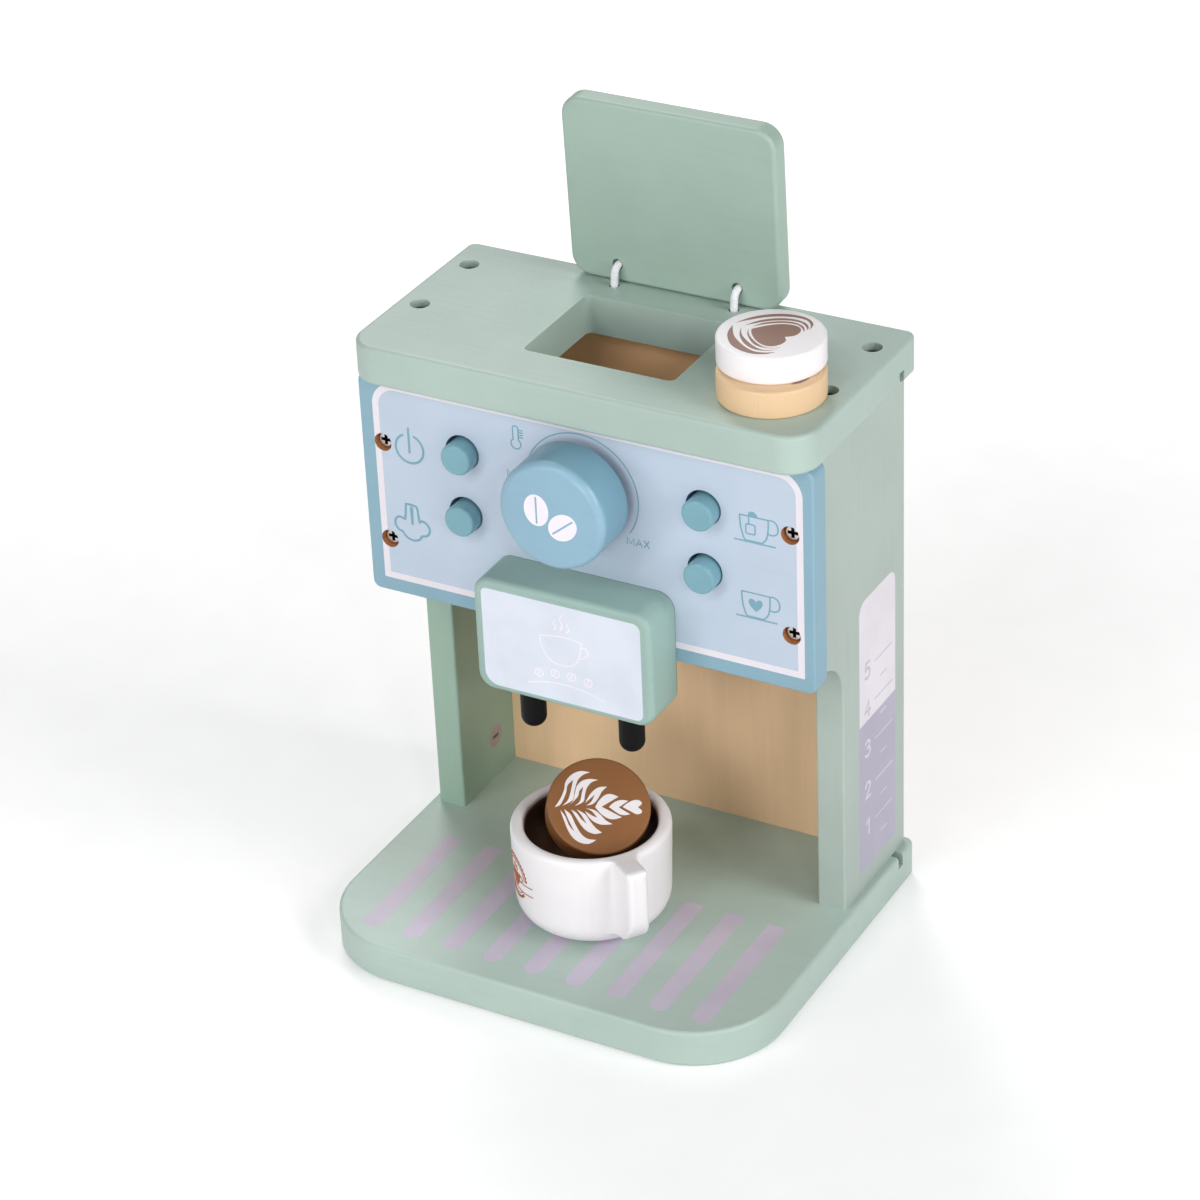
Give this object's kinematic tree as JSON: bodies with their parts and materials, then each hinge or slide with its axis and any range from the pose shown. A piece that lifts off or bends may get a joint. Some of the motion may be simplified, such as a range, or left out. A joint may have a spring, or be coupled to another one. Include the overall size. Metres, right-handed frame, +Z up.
{
  "type": "toy coffee maker",
  "caption": "Painted wooden toy coffee maker with a turning dial, push buttons, a hopper with a corded lid, brew head, spouts, cup and drink discs.",
  "frame": {"origin": "centre of the base board's underside", "axes": "+X to the right as seen from the front, -Y to the front where the cup stands, +Z up"},
  "size_m": [0.1506, 0.1258, 0.2506],
  "materials": {
    "green_paint": "satin painted wood, soft sage green",
    "blue_paint": "satin painted wood, soft blue",
    "light_blue_paint": "satin painted wood, teal blue",
    "black_paint": "satin black painted wood",
    "white_paint": "satin white painted wood",
    "brown_paint": "satin brown painted wood",
    "tan_paint": "satin tan painted wood",
    "plywood": "bare thin plywood",
    "bare_wood": "bare beech",
    "cord": "woven elastic cord",
    "steel": "bright zinc-plated steel"
  },
  "bodies": {
    "machine": {"base_board": "green_paint", "side_panel_left": "green_paint", "side_panel_right": "green_paint", "back_panel": "plywood", "top_board": "green_paint", "front_panel": "blue_paint", "head_block": "green_paint", "spout_left": "black_paint", "spout_right": "black_paint", "hinge_cord_left": "cord", "hinge_cord_right": "cord", "button_rail_left": "bare_wood", "button_rail_right": "bare_wood", "top_screws": "steel", "front_panel_screws": "steel", "head_block_screws": "steel", "button_rail_screws": "steel", "base_bolts": "steel", "barrel_nuts": "steel", "base_dowels": "bare_wood", "button_spring_upper_left": "steel", "button_spring_upper_right": "steel", "button_spring_lower_left": "steel", "button_spring_lower_right": "steel"},
    "lid": {"lid": "green_paint"},
    "dial": {"dial_knob": "light_blue_paint", "dial_axle": "bare_wood", "dial_washer": "steel", "dial_screw": "steel"},
    "cup": {"cup_body": "white_paint", "cup_handle": "white_paint"},
    "rosetta_disc": {"rosetta_disc": "brown_paint"},
    "tan_disc": {"tan_disc": "tan_paint"},
    "white_disc": {"white_disc": "white_paint"},
    "button_upper_left": {"button_upper_left": "light_blue_paint"},
    "button_upper_right": {"button_upper_right": "light_blue_paint"},
    "button_lower_left": {"button_lower_left": "light_blue_paint"},
    "button_lower_right": {"button_lower_right": "light_blue_paint"}
  },
  "joints": [
    {"name": "lid_hinge", "type": "hinge", "parent": "machine", "child": "lid", "pos_m": [-0.0008, 0.055, 0.19105], "axis": [1, 0, 0], "range_deg": [-2.9, 87.1], "deforming": ["hinge_cord_left", "hinge_cord_right"]},
    {"name": "dial_turn", "type": "hinge", "parent": "machine", "child": "dial", "pos_m": [0.0001, -0.017, 0.1563], "axis": [0, -1, 0], "continuous": true},
    {"name": "button_upper_left_press", "type": "slide", "parent": "machine", "child": "button_upper_left", "axis": [0, 1, 0], "range_m": [0, 0.003], "stiffness_N_per_m": 120, "springref_m": -0.002, "deforming": ["button_spring_upper_left"]},
    {"name": "button_upper_right_press", "type": "slide", "parent": "machine", "child": "button_upper_right", "axis": [0, 1, 0], "range_m": [0, 0.003], "stiffness_N_per_m": 120, "springref_m": -0.002, "deforming": ["button_spring_upper_right"]},
    {"name": "button_lower_left_press", "type": "slide", "parent": "machine", "child": "button_lower_left", "axis": [0, 1, 0], "range_m": [0, 0.003], "stiffness_N_per_m": 120, "springref_m": -0.002, "deforming": ["button_spring_lower_left"]},
    {"name": "button_lower_right_press", "type": "slide", "parent": "machine", "child": "button_lower_right", "axis": [0, 1, 0], "range_m": [0, 0.003], "stiffness_N_per_m": 120, "springref_m": -0.002, "deforming": ["button_spring_lower_right"]},
    {"name": "cup_slide", "type": "slide", "parent": "machine", "child": "cup", "axis": [0, -1, 0], "range_m": [0, 0.1]},
    {"name": "rosetta_disc_lift", "type": "slide", "parent": "cup", "child": "rosetta_disc", "axis": [0, 0, 1], "range_m": [0, 0.015]},
    {"name": "tan_disc_lift", "type": "slide", "parent": "machine", "child": "tan_disc", "axis": [0, 0, 1], "range_m": [0, 0.04]},
    {"name": "white_disc_lift", "type": "slide", "parent": "tan_disc", "child": "white_disc", "axis": [0, 0, 1], "range_m": [0, 0.04]}
  ]
}
